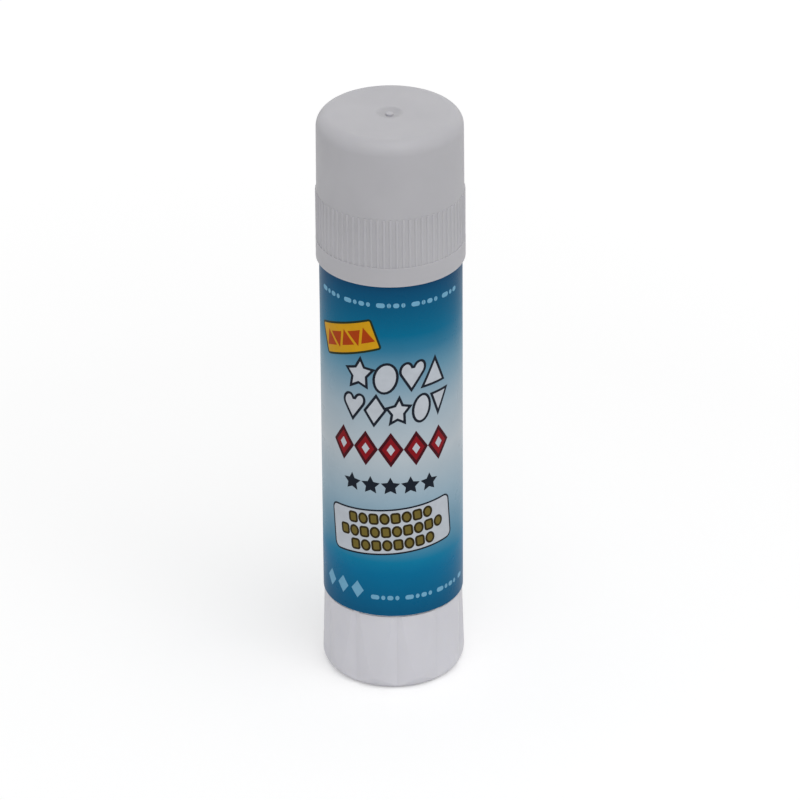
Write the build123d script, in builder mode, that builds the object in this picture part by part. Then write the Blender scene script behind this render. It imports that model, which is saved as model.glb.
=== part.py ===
from build123d import *
from math import cos, pi, radians, sin
import os

# A twist-up glue stick with its cap on, standing on its knob.
# Millimetres, +Z up, origin in the middle of the foot, front of the label towards -Y.

# The whole stick
total_height = 91.0
cap_length = 22.75
overrun = 1.0
weld = 0.3

# Body tube
tube_bore_diameter = 16.4
tube_wall = 2.2
tube_knob_gap = 0.1
skirt_wall = 1.2
skirt_depth = 1.6
tube_floor_thickness = 1.2
neck_wall = 1.15
neck_height = 13.8
neck_edge_rounding = 0.4
tube_edge_rounding = 0.15
snap_bead_height = 0.16
snap_bead_rounding = 0.5
snap_bead_rise = 3.0
guide_rib_count = 4
guide_rib_height = 0.4
guide_rib_width = 1.2
guide_rib_drop = 1.5

# Wrap label
label_film = 0.08
label_adhesive = 0.02
label_lower_margin = 0.2
label_upper_margin = 0.15
label_seam_width = 4.0
label_seam_angle = 98.0

# Twist knob
knob_height = 12.6
knob_crest_overhang = 0.25
knob_top_inset = 0.3
knob_valley_depth = 0.5
knob_lobe_count = 10
knob_valley_angle = -87.0
knob_valley_rounding = 0.3
knob_foot_inset = 1.15
knob_flare_height = 1.9
knob_flare_fullness_share = 0.63
knob_foot_rounding = 0.3
knob_top_rounding = 0.3
knob_wall = 1.3
knob_plate_thickness = 1.3
knob_boss_diameter = 8.0
knob_boss_lift = 5.5
knob_web_count = 5
knob_web_thickness = 0.9
knob_web_lift = 3.0
spigot_wall = 1.1
spigot_clearance = 0.15
spigot_end_gap = 0.35

# Lead screw
screw_lead = 4.0
screw_root_diameter = 3.8
screw_thread_diameter = 6.0
thread_base_width = 1.9
thread_tip_width = 1.1
shank_diameter = 5.0
shank_clearance = 0.1
tang_width = 4.2
tang_clearance = 0.03
barb_diameter = 5.6
barb_length = 1.2
collar_diameter = 9.0
collar_thickness = 1.0
thrust_gap = 0.15
screw_tip_length = 1.0
screw_tip_diameter = 2.4

# Glue carrier
carrier_height = 10.0
carrier_clearance = 0.1
carrier_wall = 1.0
carrier_floor = 1.2
carrier_rest_gap = 0.3
carrier_stop_depth = 0.95
carrier_edge_rounding = 0.3
hub_diameter = 9.2
hub_height = 6.0
thread_clearance = 0.22
notch_depth_clearance = 0.12
notch_side_clearance = 0.15

# Glue column
glue_clearance = 0.3
glue_fit = 0.02
glue_recess = 0.45
glue_screw_clearance = 0.4
glue_tip_clearance = 0.5
glue_edge_rounding = 0.8
glue_groove_clearance = 0.2

# Cap
cap_bead_clearance = 0.04
cap_wall = 1.27
cap_taper = 0.12
cap_rim_relief = 0.13
cap_rim_height = 3.0
cap_rim_rounding = 0.3
cap_crown_thickness = 1.3
cap_top_rounding = 2.0
cap_inner_rounding = 0.9
cap_seat_gap = 0.1
cap_rib_count = 72
cap_rib_relief = 0.11
cap_rib_radius = 0.25
cap_rib_band_height = 7.7
gate_dish_diameter = 3.8
gate_dish_depth = 0.45
gate_nub_diameter = 1.1
gate_nub_recess = 0.1

# Heights that follow from the sizes above
tube_bottom = knob_height + tube_knob_gap
tube_floor_bottom = tube_bottom + skirt_depth
tube_floor_top = tube_floor_bottom + tube_floor_thickness
cap_bottom = total_height - cap_length
tube_shoulder = cap_bottom - cap_seat_gap
neck_top = tube_shoulder + neck_height
boss_top = tube_floor_bottom - thrust_gap
collar_bottom = tube_floor_top + thrust_gap
collar_top = collar_bottom + collar_thickness
carrier_bottom = collar_top + carrier_rest_gap
carrier_top = carrier_bottom + carrier_height
hub_top = carrier_bottom + hub_height
carrier_travel = neck_top - carrier_stop_depth - carrier_top
thread_bottom = carrier_bottom + thread_base_width / 2
thread_top = hub_top + carrier_travel - thread_base_width / 2
screw_top = thread_top + thread_base_width / 2 + screw_tip_length
glue_top = neck_top - glue_recess
crown_underside = total_height - cap_crown_thickness
cap_rim_top = cap_bottom + cap_rim_height

# Radii that follow from the sizes above
bore_radius = tube_bore_diameter / 2
tube_radius = bore_radius + tube_wall
skirt_bore_radius = tube_radius - skirt_wall
neck_radius = bore_radius + neck_wall
snap_bead_radius = neck_radius + snap_bead_height
cap_bore_radius = snap_bead_radius + cap_bead_clearance
cap_skirt_radius = cap_bore_radius + cap_wall
knob_crest_radius = tube_radius + knob_crest_overhang
knob_valley_radius = knob_crest_radius - knob_valley_depth
knob_foot_radius = knob_crest_radius - knob_foot_inset
guide_rib_radius = bore_radius - guide_rib_height
cup_radius = bore_radius - carrier_clearance
cup_inner_radius = cup_radius - carrier_wall
hub_radius = hub_diameter / 2
root_radius = screw_root_diameter / 2
thread_radius = screw_thread_diameter / 2


def on_circle(radius, angle):
    """The point of a circle about the stick's axis at an angle in degrees."""
    return (radius * cos(radians(angle)), radius * sin(radians(angle)))


def radial_bars(inner_radius, outer_radius, width, count):
    """Draw a ring of bars that point outwards, in the sketch that is open."""
    with PolarLocations((inner_radius + outer_radius) / 2, count):
        Rectangle(outer_radius - inner_radius, width)


def thread_section(inner_radius, outer_radius, base_width, tip_width, height):
    """The corners of the thread's tapered section beside the axis, as radius and height."""
    return (
        (inner_radius, height - base_width / 2),
        (outer_radius, height - tip_width / 2),
        (outer_radius, height + tip_width / 2),
        (inner_radius, height + base_width / 2),
    )


# Twist knob: ten lobes, a rounded foot, hollow from below, with a boss for the screw
with BuildPart() as twist_knob:
    lobe_angle = 360 / knob_lobe_count
    with BuildSketch() as lobes:
        with BuildLine():
            for lobe in range(knob_lobe_count):
                valley = knob_valley_angle + lobe * lobe_angle
                ThreePointArc(
                    on_circle(knob_valley_radius, valley),
                    on_circle(knob_crest_radius, valley + lobe_angle / 2),
                    on_circle(knob_valley_radius, valley + lobe_angle),
                )
        make_face()
        fillet(lobes.vertices(), knob_valley_rounding)
    extrude(amount=knob_height)
    with BuildSketch(Plane.XZ) as knob_envelope:
        with BuildLine():
            Polyline(
                (knob_crest_radius, knob_flare_height),
                (knob_crest_radius - knob_top_inset, knob_height),
                (0, knob_height),
                (0, 0),
                (knob_foot_radius, 0),
            )
            flare_fullness = knob_flare_fullness_share
            ThreePointArc(
                (knob_foot_radius, 0),
                (
                    knob_foot_radius + flare_fullness * knob_foot_inset,
                    knob_flare_height - flare_fullness * knob_flare_height,
                ),
                (knob_crest_radius, knob_flare_height),
            )
        make_face()
        outer_corners = knob_envelope.vertices().sort_by(Axis.X)[2:]
        foot_corner, _, top_corner = outer_corners.sort_by(Axis.Y)
        fillet(foot_corner, knob_foot_rounding)
        fillet(top_corner, knob_top_rounding)
    revolve(axis=Axis.Z, mode=Mode.INTERSECT)
    knob_inner_radius = min(knob_valley_radius, knob_foot_radius) - knob_wall
    knob_ceiling = knob_height - knob_plate_thickness
    with BuildSketch():
        Circle(knob_inner_radius)
    extrude(amount=knob_ceiling, mode=Mode.SUBTRACT)
    with BuildSketch(Plane.XY.offset(knob_web_lift)):
        radial_bars(0, knob_inner_radius + weld, knob_web_thickness, knob_web_count)
    extrude(amount=knob_ceiling - knob_web_lift)
    with BuildSketch():
        Circle(knob_boss_diameter / 2)
    extrude(amount=knob_boss_lift, mode=Mode.SUBTRACT)
    with BuildSketch(Plane.XY.offset(knob_boss_lift)):
        Circle(knob_boss_diameter / 2)
    extrude(amount=boss_top - knob_boss_lift)
    spigot_radius = skirt_bore_radius - spigot_clearance
    with BuildSketch(Plane.XY.offset(knob_height)):
        Circle(spigot_radius)
        Circle(spigot_radius - spigot_wall, mode=Mode.SUBTRACT)
    extrude(amount=tube_floor_bottom - spigot_end_gap - knob_height)
    with BuildSketch(Plane.XY.offset(knob_boss_lift)):
        RegularPolygon(tang_width / 2 + tang_clearance, side_count=6, major_radius=False)
    extrude(amount=boss_top - knob_boss_lift, mode=Mode.SUBTRACT)
twist_knob.part.label = "twist_knob"

# Lead screw: hexagonal tang with a barb, shank, collar, core and left-hand thread
with BuildPart() as lead_screw:
    with BuildSketch(Plane.XY.offset(knob_boss_lift)):
        RegularPolygon(tang_width / 2, side_count=6, major_radius=False)
    extrude(amount=boss_top - knob_boss_lift)
    with BuildSketch(Plane.XZ):
        with BuildLine():
            Polyline(
                (0, knob_boss_lift - barb_length),
                (screw_root_diameter / 2, knob_boss_lift - barb_length),
                (barb_diameter / 2, knob_boss_lift - barb_length / 2),
                (barb_diameter / 2, knob_boss_lift),
                (0, knob_boss_lift),
                close=True,
            )
        make_face()
    revolve(axis=Axis.Z)
    with BuildSketch(Plane.XZ):
        with BuildLine():
            Polyline(
                (0, boss_top),
                (shank_diameter / 2, boss_top),
                (shank_diameter / 2, collar_bottom),
                (collar_diameter / 2, collar_bottom),
                (collar_diameter / 2, collar_top),
                (root_radius, collar_top),
                (root_radius, screw_top - screw_tip_length),
                (screw_tip_diameter / 2, screw_top),
                (0, screw_top),
                close=True,
            )
        make_face()
    revolve(axis=Axis.Z)
    with BuildLine() as thread_path:
        Helix(
            pitch=screw_lead,
            height=thread_top - thread_bottom,
            radius=root_radius,
            center=(0, 0, thread_bottom),
            lefthand=True,
        )
    ridge_corners = thread_section(
        root_radius - weld, thread_radius, thread_base_width, thread_tip_width, thread_bottom
    )
    with BuildSketch(Plane.XZ):
        with BuildLine():
            Polyline(*ridge_corners, close=True)
        make_face()
    sweep(path=thread_path.line, is_frenet=True)
lead_screw.part.label = "lead_screw"

# Glue carrier: a cup with a threaded hub and a notch for each guide rib
with BuildPart() as glue_carrier:
    with BuildSketch(Plane.XZ) as cup_profile:
        with BuildLine():
            Polyline(
                (0, carrier_bottom),
                (cup_radius, carrier_bottom),
                (cup_radius, carrier_top),
                (cup_inner_radius, carrier_top),
                (cup_inner_radius, carrier_bottom + carrier_floor),
                (hub_radius, carrier_bottom + carrier_floor),
                (hub_radius, hub_top),
                (0, hub_top),
                close=True,
            )
        make_face()
        fillet(cup_profile.vertices().group_by(Axis.Y)[0].sort_by(Axis.X)[-1], carrier_edge_rounding)
    revolve(axis=Axis.Z)
    with BuildSketch(Plane.XY.offset(carrier_bottom - overrun)):
        Circle(root_radius + thread_clearance)
    extrude(amount=hub_height + overrun + overrun, mode=Mode.SUBTRACT)
    groove_start = thread_bottom - screw_lead
    with BuildLine() as groove_path:
        Helix(
            pitch=screw_lead,
            height=hub_top + screw_lead - groove_start,
            radius=root_radius,
            center=(0, 0, groove_start),
            lefthand=True,
        )
    groove_corners = thread_section(
        root_radius,
        thread_radius + thread_clearance,
        thread_base_width + 2 * thread_clearance,
        thread_tip_width + 2 * thread_clearance,
        groove_start,
    )
    with BuildSketch(Plane.XZ):
        with BuildLine():
            Polyline(*groove_corners, close=True)
        make_face()
    sweep(path=groove_path.line, is_frenet=True, mode=Mode.SUBTRACT)
    with BuildSketch(Plane.XY.offset(carrier_bottom)):
        radial_bars(
            guide_rib_radius - notch_depth_clearance,
            cup_radius + overrun,
            guide_rib_width + 2 * notch_side_clearance,
            guide_rib_count,
        )
    extrude(amount=carrier_height, mode=Mode.SUBTRACT)
glue_carrier.part.label = "glue_carrier"

# Glue column: fills the cup round the hub, then stands in the bore, cored for the screw
with BuildPart() as glue_column:
    glue_radius = bore_radius - glue_clearance
    glue_core_radius = thread_radius + glue_screw_clearance
    glue_core_top = screw_top + glue_tip_clearance
    with BuildSketch(Plane.XZ) as glue_profile:
        with BuildLine():
            Polyline(
                (0, glue_core_top),
                (glue_core_radius, glue_core_top),
                (glue_core_radius, hub_top + glue_fit),
                (hub_radius + glue_fit, hub_top + glue_fit),
                (hub_radius + glue_fit, carrier_bottom + carrier_floor),
                (cup_inner_radius - glue_fit, carrier_bottom + carrier_floor),
                (cup_inner_radius - glue_fit, carrier_top + glue_fit),
                (glue_radius, carrier_top + glue_fit),
                (glue_radius, glue_top),
                (0, glue_top),
                close=True,
            )
        make_face()
        fillet(glue_profile.vertices().group_by(Axis.Y)[-1].sort_by(Axis.X)[-1], glue_edge_rounding)
    revolve(axis=Axis.Z)
    with BuildSketch(Plane.XY.offset(carrier_top)):
        radial_bars(
            guide_rib_radius - glue_groove_clearance,
            bore_radius + overrun,
            guide_rib_width + 2 * glue_groove_clearance,
            guide_rib_count,
        )
    extrude(amount=glue_top + overrun - carrier_top, mode=Mode.SUBTRACT)
glue_column.part.label = "glue_column"

# Body tube: skirt round the knob's spigot, floor, ribbed bore and the neck for the cap
with BuildPart() as body_tube:
    with BuildSketch(Plane.XZ) as tube_profile:
        with BuildLine():
            Polyline(
                (shank_diameter / 2 + shank_clearance, tube_floor_bottom),
                (skirt_bore_radius, tube_floor_bottom),
                (skirt_bore_radius, tube_bottom),
                (tube_radius, tube_bottom),
                (tube_radius, tube_shoulder),
                (neck_radius, tube_shoulder),
                (neck_radius, neck_top),
                (bore_radius, neck_top),
                (bore_radius, tube_floor_top),
                (shank_diameter / 2 + shank_clearance, tube_floor_top),
                close=True,
            )
        make_face()
        outer_corners = tube_profile.vertices().group_by(Axis.X)[-1].sort_by(Axis.Y)
        neck_corner = tube_profile.vertices().group_by(Axis.Y)[-1].sort_by(Axis.X)[-1]
        fillet(outer_corners, tube_edge_rounding)
        fillet(neck_corner, neck_edge_rounding)
        with Locations((snap_bead_radius - snap_bead_rounding, tube_shoulder + snap_bead_rise)):
            Circle(snap_bead_rounding)
    revolve(axis=Axis.Z)
    with BuildSketch(Plane.XY.offset(tube_floor_top)):
        radial_bars(guide_rib_radius, bore_radius + weld, guide_rib_width, guide_rib_count)
    extrude(amount=neck_top - guide_rib_drop - tube_floor_top)
body_tube.part.label = "body_tube"

# Wrap label: film round the tube, with its overlap at the back
with BuildPart() as wrap_label:
    label_bottom = tube_bottom + label_lower_margin
    label_top = tube_shoulder - label_upper_margin
    film_inner_radius = tube_radius + label_adhesive
    film_outer_radius = film_inner_radius + label_film
    seam_sweep = label_seam_width / film_outer_radius * 180 / pi
    with BuildSketch(Plane.XY.offset(label_bottom)):
        Circle(film_outer_radius)
        with BuildLine():
            inner_arc = CenterArc((0, 0), film_inner_radius, label_seam_angle, seam_sweep)
            outer_arc = CenterArc((0, 0), film_outer_radius + label_film, label_seam_angle, seam_sweep)
            Line(inner_arc @ 0, outer_arc @ 0)
            Line(inner_arc @ 1, outer_arc @ 1)
        make_face()
        Circle(film_inner_radius, mode=Mode.SUBTRACT)
    extrude(amount=label_top - label_bottom)
wrap_label.part.label = "wrap_label"

# Cap: rounded crown with the gate's dish and nub, a band of fine ribs and a smooth rim
with BuildPart() as cap:
    with BuildSketch(Plane.XZ) as cap_profile:
        with BuildLine():
            Polyline(
                (0, crown_underside),
                (0, total_height),
                (cap_skirt_radius - cap_taper, total_height),
                (cap_skirt_radius, cap_rim_top),
                (cap_skirt_radius + cap_rim_relief, cap_rim_top),
                (cap_skirt_radius + cap_rim_relief, cap_bottom),
                (cap_bore_radius, cap_bottom),
                (cap_bore_radius, crown_underside),
                close=True,
            )
        make_face()
        crown_corner = cap_profile.vertices().group_by(Axis.Y)[-1].sort_by(Axis.X)[-1]
        inner_corner = cap_profile.vertices().group_by(Axis.Y)[-2].sort_by(Axis.X)[-1]
        rim_corner = cap_profile.vertices().group_by(Axis.Y)[0].sort_by(Axis.X)[-1]
        fillet(crown_corner, cap_top_rounding)
        fillet(inner_corner, cap_inner_rounding)
        fillet(rim_corner, cap_rim_rounding)
    revolve(axis=Axis.Z)
    with BuildSketch(Plane.XY.offset(cap_rim_top)):
        with PolarLocations(cap_skirt_radius + cap_rib_relief - cap_rib_radius, cap_rib_count):
            Circle(cap_rib_radius)
    extrude(amount=cap_rib_band_height)
    dish_bottom = total_height - gate_dish_depth
    with BuildSketch(Plane.XZ):
        with BuildLine():
            TangentArc((0, dish_bottom), (gate_dish_diameter / 2, total_height), tangent=(1, 0))
            Polyline((gate_dish_diameter / 2, total_height), (0, total_height), (0, dish_bottom))
        make_face()
    revolve(axis=Axis.Z, mode=Mode.SUBTRACT)
    with BuildSketch(Plane.XY.offset(dish_bottom - weld)):
        Circle(gate_nub_diameter / 2)
    extrude(amount=weld + gate_dish_depth - gate_nub_recess)
cap.part.label = "cap"

os.makedirs("parts", exist_ok=True)
for piece in (twist_knob, lead_screw, glue_carrier, glue_column, body_tube, wrap_label, cap):
    export_step(piece.part, f"parts/{piece.part.label}.step")

print(f"carrier travel {carrier_travel:.2f} mm, screw top {screw_top:.2f}, glue top {glue_top:.2f}")
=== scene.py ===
import math
from itertools import cycle

import bmesh
import bpy
from mathutils import Matrix, Vector

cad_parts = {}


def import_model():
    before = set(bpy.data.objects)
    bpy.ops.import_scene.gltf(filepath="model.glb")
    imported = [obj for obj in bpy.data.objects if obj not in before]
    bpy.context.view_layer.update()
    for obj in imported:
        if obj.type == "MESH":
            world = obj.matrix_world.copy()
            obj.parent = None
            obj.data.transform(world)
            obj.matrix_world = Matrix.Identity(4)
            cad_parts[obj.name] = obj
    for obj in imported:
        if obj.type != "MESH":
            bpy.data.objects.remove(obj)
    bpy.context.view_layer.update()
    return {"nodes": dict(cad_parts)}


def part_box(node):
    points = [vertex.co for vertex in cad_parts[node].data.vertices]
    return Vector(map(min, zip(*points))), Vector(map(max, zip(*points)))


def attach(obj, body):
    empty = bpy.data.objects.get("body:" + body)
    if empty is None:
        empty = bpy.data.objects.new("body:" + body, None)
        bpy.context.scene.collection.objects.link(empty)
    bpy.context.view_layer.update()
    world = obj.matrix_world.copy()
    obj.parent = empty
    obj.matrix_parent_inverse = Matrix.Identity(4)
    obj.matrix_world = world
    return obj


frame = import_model()

# Blender works in metres; the sizes below are written in millimetres times MM, but the print is
# drawn in plain millimetres: across, to the right of the label's front, and up from the foot
MM = 0.001

# Camera, fitted to the photograph's edges at 800 x 800 pixels
CAMERA_DISTANCE = 850 * MM
CAMERA_ELEVATION = 28.45
CAMERA_ROLL = -0.41
CAMERA_LENS = 258.3
CAMERA_TARGET = Vector((1.2 * MM, 0, 43.83 * MM))
CAMERA_CLIP = (10 * MM, 20000 * MM)
SENSOR_WIDTH = 36

WHITE = (1, 1, 1, 1)

# Floor: its glow, which only the camera sees, grows with the distance from the object
FLOOR_SIZE = 4000 * MM
FLOOR_COLOUR = (0.86, 0.86, 0.86, 1)
FLOOR_ROUGHNESS = 0.9
GLOW_DISTANCES = (100 * MM, 600 * MM)
GLOW_STRENGTHS = (0.26, 0.55)
# Radius inside the foot's rim where the floor is open, so that the hollow knob isn't black from below
FLOOR_OPENING = 8 * MM

# Light: strength of the surround as it lights the object and as it is seen, and the soft key lamp
SURROUND_STRENGTHS = (0.6, 1.0)
KEY_PLACE = (170 * MM, -340 * MM, 820 * MM)
KEY_AIM = (0, 0, 40 * MM)
KEY_SIZE = 700 * MM
KEY_POWER = 2.9

# The label as the frame gives it; its front faces -Y and its seam is at the back
label_low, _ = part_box("wrap_label")
label_radius = -label_low.y

# Base colours of the plastics and the glue. The cap's darker and the knob's lighter white are partly a real
# difference of plastic, and partly painted shade high up and painted light from the floor near the foot
CAP_WHITE_AND_PAINTED_SHADE = (0.505, 0.50, 0.525)
TUBE_WHITE = (0.62, 0.62, 0.65)
KNOB_WHITE_AND_PAINTED_LIGHT = (0.715, 0.71, 0.755)
INNER_WHITE = (0.66, 0.66, 0.65)
GLUE_WHITE = (0.78, 0.77, 0.71)

# Roughness of the plastics outside and inside
OUTER_ROUGHNESS = 0.42
INNER_ROUGHNESS = 0.38

# Painted shade in a ring round the cap's gate, where its dish walls would be shaded: its radius, where it
# fades out, and its tone
GATE_SHADE_RADIUS = 1.3 * MM
GATE_SHADE_FADE = (0.3 * MM, 0.9 * MM)
GATE_SHADE_TONE = 0.92

# The span of a noise texture's values that is stretched over the range asked for
NOISE_SPAN = (0.3, 0.7)


def srgb(red, green, blue):
    """Linear colour with alpha from 0 to 255 display values."""
    def linear(value):
        share = value / 255
        return share / 12.92 if share <= 0.04045 else ((share + 0.055) / 1.055) ** 2.4
    return (linear(red), linear(green), linear(blue), 1.0)


# Print colours
INK_COLOURS = {
    "yellow": srgb(212, 158, 22),
    "orange_red": srgb(174, 64, 12),
    "olive_dark": srgb(36, 50, 28),
    "white": srgb(194, 200, 208),
    "navy": srgb(26, 33, 44),
    "red": srgb(138, 22, 31),
    "maroon": srgb(72, 15, 25),
    "gold": srgb(116, 102, 46),
    "gold_dark": srgb(50, 41, 14),
    "light_blue": srgb(116, 174, 205),
}

# The label's ground colour, at heights above the foot in millimetres
LABEL_GROUND = (
    (13, srgb(6, 88, 128)),
    (20, srgb(0, 112, 156)),
    (22, srgb(10, 124, 164)),
    (24, srgb(76, 138, 168)),
    (32, srgb(152, 178, 194)),
    (40, srgb(190, 200, 207)),
    (47, srgb(168, 186, 198)),
    (54, srgb(106, 152, 176)),
    (57.5, srgb(50, 122, 156)),
    (60, srgb(0, 108, 146)),
    (68, srgb(8, 74, 114)),
)


# Node helpers

def new_material(name):
    """A material with its node tree and its shader."""
    material = bpy.data.materials.new(name)
    material.use_nodes = True
    tree = material.node_tree
    tree.nodes.clear()
    output = tree.nodes.new("ShaderNodeOutputMaterial")
    shader = tree.nodes.new("ShaderNodeBsdfPrincipled")
    tree.links.new(shader.outputs["BSDF"], output.inputs["Surface"])
    return material, tree, shader


def add(tree, kind, inputs=None, **settings):
    """A node with some properties set, and some inputs given a value or linked to a socket."""
    node = tree.nodes.new(kind)
    for key, value in settings.items():
        setattr(node, key, value)
    for key, value in (inputs or {}).items():
        if isinstance(value, bpy.types.NodeSocket):
            tree.links.new(value, node.inputs[key])
        else:
            node.inputs[key].default_value = value
    return node


def maths(tree, operation, *values):
    """The result of an operation on one or two numbers or sockets."""
    node = add(tree, "ShaderNodeMath", dict(enumerate(values)), operation=operation)
    return node.outputs["Value"]


def length(tree, vector):
    return add(tree, "ShaderNodeVectorMath", {0: vector}, operation="LENGTH").outputs["Value"]


def remap(tree, value, low, high, to_low, to_high):
    """The value stretched from the range low to high onto the range to_low to to_high."""
    inputs = {"Value": value, "From Min": low, "From Max": high, "To Min": to_low, "To Max": to_high}
    return add(tree, "ShaderNodeMapRange", inputs).outputs["Result"]


def position(tree):
    """Coordinates that a posed body carries with it."""
    return add(tree, "ShaderNodeTexCoord").outputs["Object"]


def noise(tree, where, scale, detail=2, fineness=0.5):
    inputs = {"Vector": where, "Scale": scale, "Detail": detail, "Roughness": fineness}
    return add(tree, "ShaderNodeTexNoise", inputs).outputs["Fac"]


def uneven(tree, where, low, high, scale, detail=2, fineness=0.5):
    """A value that wanders from about low to about high over the surface."""
    return remap(tree, noise(tree, where, scale, detail, fineness), *NOISE_SPAN, low, high)


def shaded(tree, colour, factor):
    """A colour, or the socket that gives it, times a grey factor."""
    colour = colour[:3] if isinstance(colour, tuple) else colour
    inputs = {0: colour, "Scale": factor}
    return add(tree, "ShaderNodeVectorMath", inputs, operation="SCALE").outputs["Vector"]


def bump(tree, shader, height, strength, distance):
    inputs = {"Height": height, "Strength": strength, "Distance": distance}
    tree.links.new(add(tree, "ShaderNodeBump", inputs).outputs["Normal"], shader.inputs["Normal"])


def translucent(shader, weight, depths):
    """Let light into the surface, to depths in millimetres for red, green and blue."""
    shader.inputs["Subsurface Weight"].default_value = weight
    shader.inputs["Subsurface Radius"].default_value = [depth * MM for depth in depths]
    shader.inputs["Subsurface Scale"].default_value = 1.0


# Materials

def painted_gate_shade(tree, where):
    """A factor that paints shade into the ring round the gate in the middle of the cap's top, where its dish
    is shaded.
    """
    flat = add(tree, "ShaderNodeVectorMath", {0: where, 1: (1, 1, 0)}, operation="MULTIPLY")
    radius = length(tree, flat.outputs["Vector"])
    off_ring = maths(tree, "ABSOLUTE", maths(tree, "SUBTRACT", radius, GATE_SHADE_RADIUS))
    return remap(tree, off_ring, *GATE_SHADE_FADE, GATE_SHADE_TONE, 1)


def moulded_plastic(name, colour, roughness=OUTER_ROUGHNESS, gate=False):
    """White moulded polypropylene: faint mottle, fine grain and slightly uneven gloss, and painted shade
    round the gate if it has one.
    """
    material, tree, shader = new_material(name)
    where = position(tree)
    # Painted shade round the gate, standing in for the shaded walls of its dish
    if gate:
        colour = shaded(tree, colour, painted_gate_shade(tree, where))
    mottle = uneven(tree, where, 0.975, 1.02, scale=160, detail=3)
    tree.links.new(shaded(tree, colour, mottle), shader.inputs["Base Color"])
    sheen = uneven(tree, where, roughness - 0.05, roughness + 0.07, scale=420, detail=4, fineness=0.6)
    tree.links.new(sheen, shader.inputs["Roughness"])
    bump(tree, shader, noise(tree, where, scale=3200), strength=0.25, distance=0.01 * MM)
    shader.inputs["Specular IOR Level"].default_value = 0.3
    translucent(shader, weight=0.4, depths=(0.6, 0.6, 0.7))
    return material


def film_gloss(tree, shader, where):
    """The light gloss of printed film, slightly uneven over the tube."""
    gloss = uneven(tree, where, 0.26, 0.34, scale=300, detail=3)
    tree.links.new(gloss, shader.inputs["Roughness"])
    shader.inputs["Specular IOR Level"].default_value = 0.075


def label_film():
    """The label's ground: blue at both ends, fading to pale in the middle."""
    material, tree, shader = new_material("label_ground")
    where = position(tree)
    level = add(tree, "ShaderNodeSeparateXYZ", {"Vector": where}).outputs["Z"]
    lowest, highest = LABEL_GROUND[0][0], LABEL_GROUND[-1][0]
    share = remap(tree, level, lowest * MM, highest * MM, 0, 1)
    ramp = add(tree, "ShaderNodeValToRGB", {"Fac": share})
    stops = ramp.color_ramp.elements
    stops.remove(stops[1])
    stops[0].position = 0
    stops[0].color = LABEL_GROUND[0][1]
    for height, colour in LABEL_GROUND[1:]:
        stops.new((height - lowest) / (highest - lowest)).color = colour
    mottle = uneven(tree, where, 0.98, 1.02, scale=260)
    tree.links.new(shaded(tree, ramp.outputs["Color"], mottle), shader.inputs["Base Color"])
    film_gloss(tree, shader, where)
    return material


def ink(name, colour):
    """Printed ink under the same film, with a faintly uneven tone."""
    material, tree, shader = new_material(name)
    where = position(tree)
    mottle = uneven(tree, where, 0.95, 1.04, scale=700)
    tree.links.new(shaded(tree, colour, mottle), shader.inputs["Base Color"])
    film_gloss(tree, shader, where)
    return material


def glue_wax():
    """The adhesive: slightly yellow, waxy and a little uneven."""
    material, tree, shader = new_material("glue_wax")
    where = position(tree)
    mottle = uneven(tree, where, 0.96, 1.02, scale=220, detail=4, fineness=0.6)
    tree.links.new(shaded(tree, GLUE_WHITE, mottle), shader.inputs["Base Color"])
    sheen = uneven(tree, where, 0.3, 0.5, scale=500, detail=3)
    tree.links.new(sheen, shader.inputs["Roughness"])
    bump(tree, shader, noise(tree, where, scale=900, detail=4), strength=0.35, distance=0.03 * MM)
    translucent(shader, weight=0.3, depths=(1.2, 1.1, 0.9))
    return material


def dress(node_name, material):
    """Give a CAD node its material."""
    mesh = frame["nodes"][node_name].data
    mesh.materials.clear()
    mesh.materials.append(material)


# The cap's top gets painted shade round its gate
dress("cap", moulded_plastic("cap_white", CAP_WHITE_AND_PAINTED_SHADE, gate=True))
dress("body_tube", moulded_plastic("tube_white", TUBE_WHITE))
dress("twist_knob", moulded_plastic("knob_white", KNOB_WHITE_AND_PAINTED_LIGHT))
dress("lead_screw", moulded_plastic("screw_white", INNER_WHITE, INNER_ROUGHNESS))
dress("glue_carrier", moulded_plastic("carrier_white", INNER_WHITE, INNER_ROUGHNESS))
dress("glue_column", glue_wax())
dress("wrap_label", label_film())

inks = {name: ink(f"ink_{name}", colour) for name, colour in INK_COLOURS.items()}


# Flat outlines of the printed shapes, about their own middle

# How finely the round ones are drawn, and the tips and waists of a star
CORNER_STEPS = 5
LOBE_STEPS = 12
DISC_POINTS = 24
STAR_POINTS = 10


def arc_points(centre, radius, start, end, steps):
    angles = [math.radians(start + (end - start) * step / steps) for step in range(steps + 1)]
    return [(centre[0] + radius * math.cos(angle), centre[1] + radius * math.sin(angle)) for angle in angles]


def ring_points(count, start, width, height):
    """Evenly spaced points of an ellipse, the first at the start angle."""
    points = arc_points((0, 0), 1, start, start + 360, count)[:-1]
    return [(x * width / 2, y * height / 2) for x, y in points]


def rounded_box(width, height, corner):
    x, y = width / 2 - corner, height / 2 - corner
    points = []
    for centre, start in (((x, y), 0), ((-x, y), 90), ((-x, -y), 180), ((x, -y), 270)):
        points += arc_points(centre, corner, start, start + 90, CORNER_STEPS)
    return points


def disc(width, height):
    return ring_points(DISC_POINTS, 0, width, height)


def polygon(corners, width, height, start=90):
    return ring_points(corners, start, width, height)


def star(width, height, waist_share=0.5):
    """Five tips, and between them five corners drawn in to a share of the tips' reach."""
    points = ring_points(STAR_POINTS, 90, width, height)
    for number in range(1, STAR_POINTS, 2):
        x, y = points[number]
        points[number] = (x * waist_share, y * waist_share)
    return points


def heart(width, height):
    """Two round lobes over a point, drawn at half width 1 and then scaled."""
    lobe_x, lobe_y, lobe_radius = 0.48, 0.44, 0.52
    lobe = arc_points((lobe_x, lobe_y), lobe_radius, -34, 156, LOBE_STEPS)
    points = [(0, -1)] + lobe + [(-x, y) for x, y in reversed(lobe)]
    drawn_height = 1 + lobe_y + lobe_radius
    return [(x * width / 2, y * height / drawn_height) for x, y in points]


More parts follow.
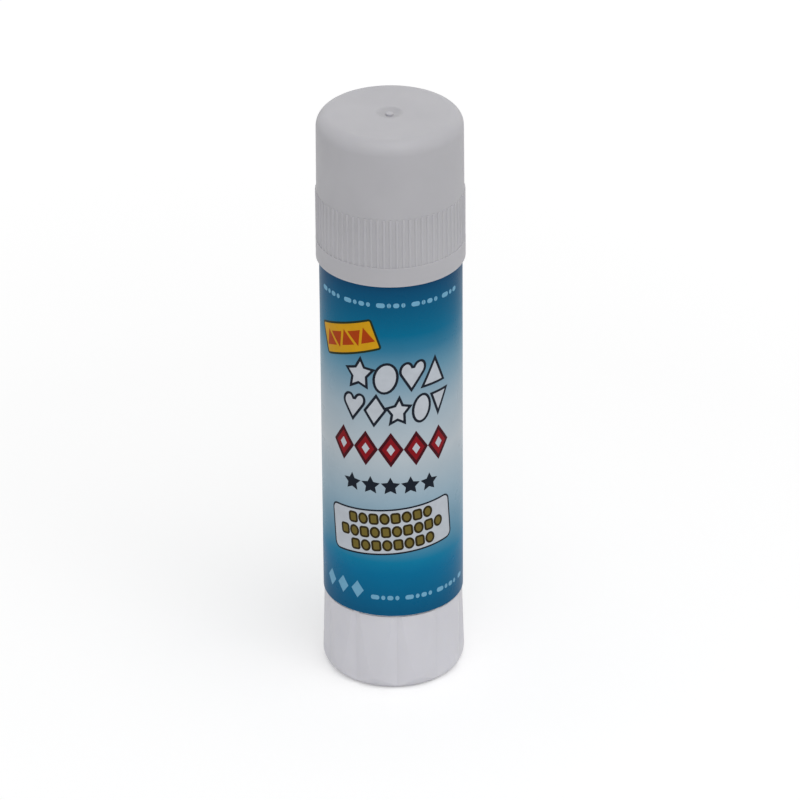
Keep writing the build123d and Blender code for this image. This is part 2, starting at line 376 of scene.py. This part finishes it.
def at(points, across, height, tilt=0, slant=0):
    """The outline leaned by slant, turned by tilt and put at its place on the label."""
    turn, lean = math.radians(tilt), math.tan(math.radians(slant))
    placed = []
    for x, y in points:
        x += y * lean
        placed.append((
            across + x * math.cos(turn) - y * math.sin(turn),
            height + x * math.sin(turn) + y * math.cos(turn),
        ))
    return placed


def spread(count, spacing):
    """Evenly spaced places on both sides of zero."""
    return [(number - (count - 1) / 2) * spacing for number in range(count)]


# Printing

# Two layers of ink just proud of the film, from their underside to their top
UNDER_INK = (-0.03 * MM, 0.012 * MM)
OVER_INK = (0.006 * MM, 0.022 * MM)

# Width of the strips that let the flat print follow the tube, and the angle that counts as an edge
PRINT_STRIP = 0.35
CREASE_ANGLE = math.radians(40)


def shape(outline, fill, rim=None, rim_width=0):
    """A printed shape in one ink, or with a rim of a second ink just inside its outline."""
    return outline, fill, rim, rim_width


def wrapped(across, height, lift):
    """A place on the label, in metres, with a lift in metres off the film."""
    angle = across * MM / label_radius
    radius = label_radius + lift
    return Vector((radius * math.sin(angle), -radius * math.cos(angle), height * MM))


def flat_sheet(shapes):
    """The shapes as flat faces, and the names of their inks in the order of the material slots."""
    sheet = bmesh.new()
    used = []
    for outline, fill, rim, rim_width in shapes:
        used += [colour for colour in (fill, rim) if colour and colour not in used]
        face = sheet.faces.new([sheet.verts.new((x, y, 0)) for x, y in outline])
        face.normal_update()
        if face.normal.z < 0:
            face.normal_flip()
        if rim:
            ring = bmesh.ops.inset_individual(sheet, faces=[face], thickness=rim_width, use_even_offset=True)
            for border in ring["faces"]:
                border.material_index = used.index(rim)
        face.material_index = used.index(fill)
    return sheet, used


def cut_in_strips(sheet):
    left = min(vert.co.x for vert in sheet.verts)
    right = max(vert.co.x for vert in sheet.verts)
    for cut in range(math.ceil(left / PRINT_STRIP), math.floor(right / PRINT_STRIP) + 1):
        everything = sheet.verts[:] + sheet.edges[:] + sheet.faces[:]
        place = (cut * PRINT_STRIP, 0, 0)
        bmesh.ops.bisect_plane(sheet, geom=everything, plane_co=place, plane_no=(1, 0, 0))


def wrap_round_tube(sheet, layer):
    """Make the flat sheet a closed film as thick as the layer, bent round the tube."""
    underside, top = layer
    grown = bmesh.ops.extrude_face_region(sheet, geom=sheet.faces[:], use_keep_orig=True)
    raised = {item for item in grown["geom"] if isinstance(item, bmesh.types.BMVert)}
    for vert in sheet.verts:
        vert.co = wrapped(vert.co.x, vert.co.y, top if vert in raised else underside)
    bmesh.ops.recalc_face_normals(sheet, faces=sheet.faces[:])
    for face in sheet.faces:
        face.smooth = True
    for edge in sheet.edges:
        edge.smooth = edge.calc_face_angle(0) < CREASE_ANGLE


def print_shapes(name, shapes, layer=UNDER_INK):
    """One printed piece that rides on the barrel: all its shapes, as closed films of ink."""
    sheet, used = flat_sheet(shapes)
    bmesh.ops.triangulate(sheet, faces=sheet.faces[:])
    cut_in_strips(sheet)
    wrap_round_tube(sheet, layer)
    mesh = bpy.data.meshes.new(name)
    sheet.to_mesh(mesh)
    sheet.free()
    for colour in used:
        mesh.materials.append(inks[colour])
    piece = bpy.data.objects.new(name, mesh)
    bpy.context.scene.collection.objects.link(piece)
    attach(piece, "barrel")


# The printed motifs

# A row of short and long dashes, as (length, gap after it), and how many corner radii thick they are
DASHES = ((1.3, 0.3), (0.6, 0.3), (0.9, 0.3), (0.6, 0.9))
DASH_RADII = 2.2
BORDER_THICKNESS = 0.75
BORDER_BACK_SPANS = ((17.4, 32.2), (-26.4, -16.4))

# Ink and width of the rims of the cut-paper shapes and the panels, and the waist of the paper stars
PAPER_RIM = ("navy", 0.4)
PANEL_RIM = ("navy", 0.28)
PAPER_WAIST_SHARE = 0.54


def dash_row(start, end, height, thickness, fill):
    """Dashes along the label from start to end."""
    shapes = []
    across = start
    for dash_length, gap in cycle(DASHES):
        if across + dash_length > end:
            return shapes
        dash = rounded_box(dash_length, thickness, thickness / DASH_RADII)
        shapes.append(shape(at(dash, across + dash_length / 2, height), fill))
        across += dash_length + gap


def border(front_start, front_end, height):
    """Light dashes at one height, at the front and at the back."""
    shapes = []
    for start, end in ((front_start, front_end), *BORDER_BACK_SPANS):
        shapes += dash_row(start, end, height, BORDER_THICKNESS, "light_blue")
    return shapes


def dashed_borders():
    """Light dashes near the label's upper and lower edge, and three diamonds beside the lower ones."""
    upper_height, lower_height, diamond_height = 65.0, 16.0, 16.8
    print_shapes("print_upper_dashes", border(-12.6, 12.2, upper_height))
    diamond = polygon(4, 2.1, 2.9)
    diamonds = [shape(at(diamond, across, diamond_height), "light_blue") for across in (-11.0, -8.3, -5.6)]
    print_shapes("print_lower_dashes", border(-3.4, 13.7, lower_height) + diamonds)


def tag():
    """The yellow tag with its row of triangles, every second one upside down."""
    across, height, tilt = -7.1, 58.6, 19
    card = at(rounded_box(10.4, 5.1, 0.5), across, height, tilt)
    print_shapes("print_tag", [shape(card, "yellow", "olive_dark", 0.33)])
    triangles = []
    for number, along in enumerate(spread(5, 1.75)):
        first_corner, shift = (90, -0.25) if number % 2 == 0 else (270, 0.25)
        middle = at([(along, shift)], across, height, tilt)[0]
        triangle = polygon(3, 2.6, 3.3, first_corner)
        triangles.append(shape(at(triangle, *middle, tilt), "orange_red"))
    print_shapes("print_tag_triangles", triangles, OVER_INK)


def cut_paper_shapes():
    """Two rows of white shapes, as cut from paper, with a navy rim."""
    tilt, slant = 4, 8
    # Each with its place across and its height
    placed = (
        (star(5.2, 6.0, PAPER_WAIST_SHARE), -4.9, 53.3),
        (disc(3.9, 5.2), -0.9, 53.0),
        (heart(4.2, 5.1), 3.1, 53.2),
        (polygon(3, 5.0, 6.4), 6.6, 52.7),
        (heart(3.8, 4.7), -5.9, 47.7),
        (polygon(4, 3.6, 5.6), -2.5, 47.6),
        (star(4.4, 5.5, PAPER_WAIST_SHARE), 0.95, 47.5),
        (disc(3.1, 4.8), 4.5, 47.7),
        (polygon(3, 4.0, 5.6, 270), 7.5, 48.5),
    )
    shapes = [shape(at(*item, tilt, slant), "white", *PAPER_RIM) for item in placed]
    print_shapes("print_paper_shapes", shapes)


def diamond_band():
    """Red diamonds with maroon rims and pale middles, side by side."""
    middle, height, spacing = -0.2, 41.15, 3.8
    outer, inner = [], []
    for along in spread(5, spacing):
        place = (middle + along, height)
        outer.append(shape(at(polygon(4, spacing, 5.8), *place), "maroon"))
        inner.append(shape(at(polygon(4, 2.7, 4.1), *place), "white", "red", 0.62))
    print_shapes("print_diamonds", outer)
    print_shapes("print_diamond_middles", inner, OVER_INK)


def navy_stars():
    """A row of small navy stars."""
    middle, height = -0.3, 35.0
    shapes = [shape(at(star(3.0, 3.1), middle + along, height), "navy") for along in spread(5, 3.0)]
    print_shapes("print_navy_stars", shapes)


def bead_panel():
    """The white panel with three rows of gold beads, square and round by turns."""
    across, height, tilt = -0.2, 27.3, 5
    card = at(rounded_box(20.0, 7.7, 1.1), across, height, tilt)
    print_shapes("print_panel", [shape(card, "white", *PANEL_RIM)])
    beads = []
    for row_height, count in ((2.25, 8), (0.0, 10), (-2.25, 8)):
        for number, along in enumerate(spread(count, 1.66)):
            middle = at([(along, row_height)], across, height, tilt)[0]
            bead = rounded_box(1.55, 1.9, 0.5) if number % 2 == 0 else disc(1.6, 1.95)
            beads.append(shape(at(bead, *middle, tilt), "gold", "gold_dark", 0.33))
    print_shapes("print_panel_beads", beads, OVER_INK)


def back_panel():
    """At the back, a white panel with rows of navy dashes, and beside it a column of paper shapes."""
    across, height = 24.8, 40.5
    card = at(rounded_box(14.6, 30.0, 1.2), across, height)
    print_shapes("print_back_panel", [shape(card, "white", *PANEL_RIM)])
    rows = []
    for number, drop in enumerate(spread(9, 3)):
        start, end = (-5.5, 3.5) if number % 3 == 2 else (-6.0, 6.1)
        rows += dash_row(across + start, across + end, height - drop, 0.7, "navy")
    print_shapes("print_back_dashes", rows, OVER_INK)
    column_across = -21.4
    column = (
        (star(6.4, 6.6, PAPER_WAIST_SHARE), 53.5),
        (heart(5.6, 5.8), 45.0),
        (disc(5.0, 5.6), 36.5),
        (polygon(4, 5.0, 6.6), 28.0),
    )
    shapes = [shape(at(outline, column_across, middle), "white", *PAPER_RIM) for outline, middle in column]
    print_shapes("print_back_shapes", shapes)


dashed_borders()
tag()
cut_paper_shapes()
diamond_band()
navy_stars()
bead_panel()
back_panel()


# Floor, light and camera

def floor():
    """A plain white floor with the object's shadow on it, seen through from below."""
    bpy.ops.mesh.primitive_plane_add(size=FLOOR_SIZE)
    plane = bpy.context.object
    plane.name = "floor"
    material, tree, shader = new_material("floor_white")
    shader.inputs["Base Color"].default_value = FLOOR_COLOUR
    shader.inputs["Roughness"].default_value = FLOOR_ROUGHNESS
    shader.inputs["Specular IOR Level"].default_value = 0.0
    surface = shader.outputs["BSDF"].links[0].to_socket
    distance = length(tree, position(tree))
    seen = add(tree, "ShaderNodeLightPath").outputs["Is Camera Ray"]
    strength = maths(tree, "MULTIPLY", remap(tree, distance, *GLOW_DISTANCES, *GLOW_STRENGTHS), seen)
    glow = add(tree, "ShaderNodeEmission", {"Color": WHITE, "Strength": strength}).outputs["Emission"]
    lit = add(tree, "ShaderNodeAddShader", {0: shader.outputs["BSDF"], 1: glow}).outputs["Shader"]
    clear = add(tree, "ShaderNodeBsdfTransparent").outputs["BSDF"]
    below = add(tree, "ShaderNodeNewGeometry").outputs["Backfacing"]
    open_part = maths(tree, "MAXIMUM", maths(tree, "LESS_THAN", distance, FLOOR_OPENING), below)
    both = add(tree, "ShaderNodeMixShader", {"Fac": open_part, 1: lit, 2: clear})
    tree.links.new(both.outputs["Shader"], surface)
    plane.data.materials.append(material)


def world():
    """A white surround, which lights the object less than it shows in reflections and to the camera."""
    surround = bpy.data.worlds.new("studio")
    bpy.context.scene.world = surround
    surround.use_nodes = True
    tree = surround.node_tree
    tree.nodes.clear()
    rays = add(tree, "ShaderNodeLightPath").outputs
    seen = maths(tree, "MAXIMUM", rays["Is Camera Ray"], rays["Is Glossy Ray"])
    seen = maths(tree, "MAXIMUM", seen, rays["Is Transmission Ray"])
    strength = remap(tree, seen, 0, 1, *SURROUND_STRENGTHS)
    background = add(tree, "ShaderNodeBackground", {"Color": WHITE, "Strength": strength})
    add(tree, "ShaderNodeOutputWorld", {"Surface": background.outputs["Background"]})


def key_lamp():
    """One large soft lamp, in front, above and a little to the right."""
    data = bpy.data.lights.new("key", "AREA")
    data.shape = "SQUARE"
    data.size = KEY_SIZE
    data.energy = KEY_POWER
    lamp = bpy.data.objects.new("key", data)
    bpy.context.scene.collection.objects.link(lamp)
    lamp.location = KEY_PLACE
    lamp.rotation_euler = (Vector(KEY_AIM) - Vector(KEY_PLACE)).to_track_quat("-Z", "Y").to_euler()


def camera():
    """The camera, aimed from the front and above, and rolled as the photograph is."""
    data = bpy.data.cameras.new("camera")
    data.lens = CAMERA_LENS
    data.sensor_width = SENSOR_WIDTH
    data.clip_start, data.clip_end = CAMERA_CLIP
    shot = bpy.data.objects.new("camera", data)
    bpy.context.scene.collection.objects.link(shot)
    elevation = math.radians(CAMERA_ELEVATION)
    back = Vector((0, -math.cos(elevation), math.sin(elevation)))
    place = Matrix.Translation(CAMERA_TARGET + CAMERA_DISTANCE * back)
    tilt = Matrix.Rotation(math.radians(90 - CAMERA_ELEVATION), 4, "X")
    roll = Matrix.Rotation(math.radians(CAMERA_ROLL), 4, "Z")
    shot.matrix_world = place @ tilt @ roll
    bpy.context.scene.camera = shot


floor()
world()
key_lamp()
camera()
bpy.context.scene.view_settings.view_transform = "Standard"
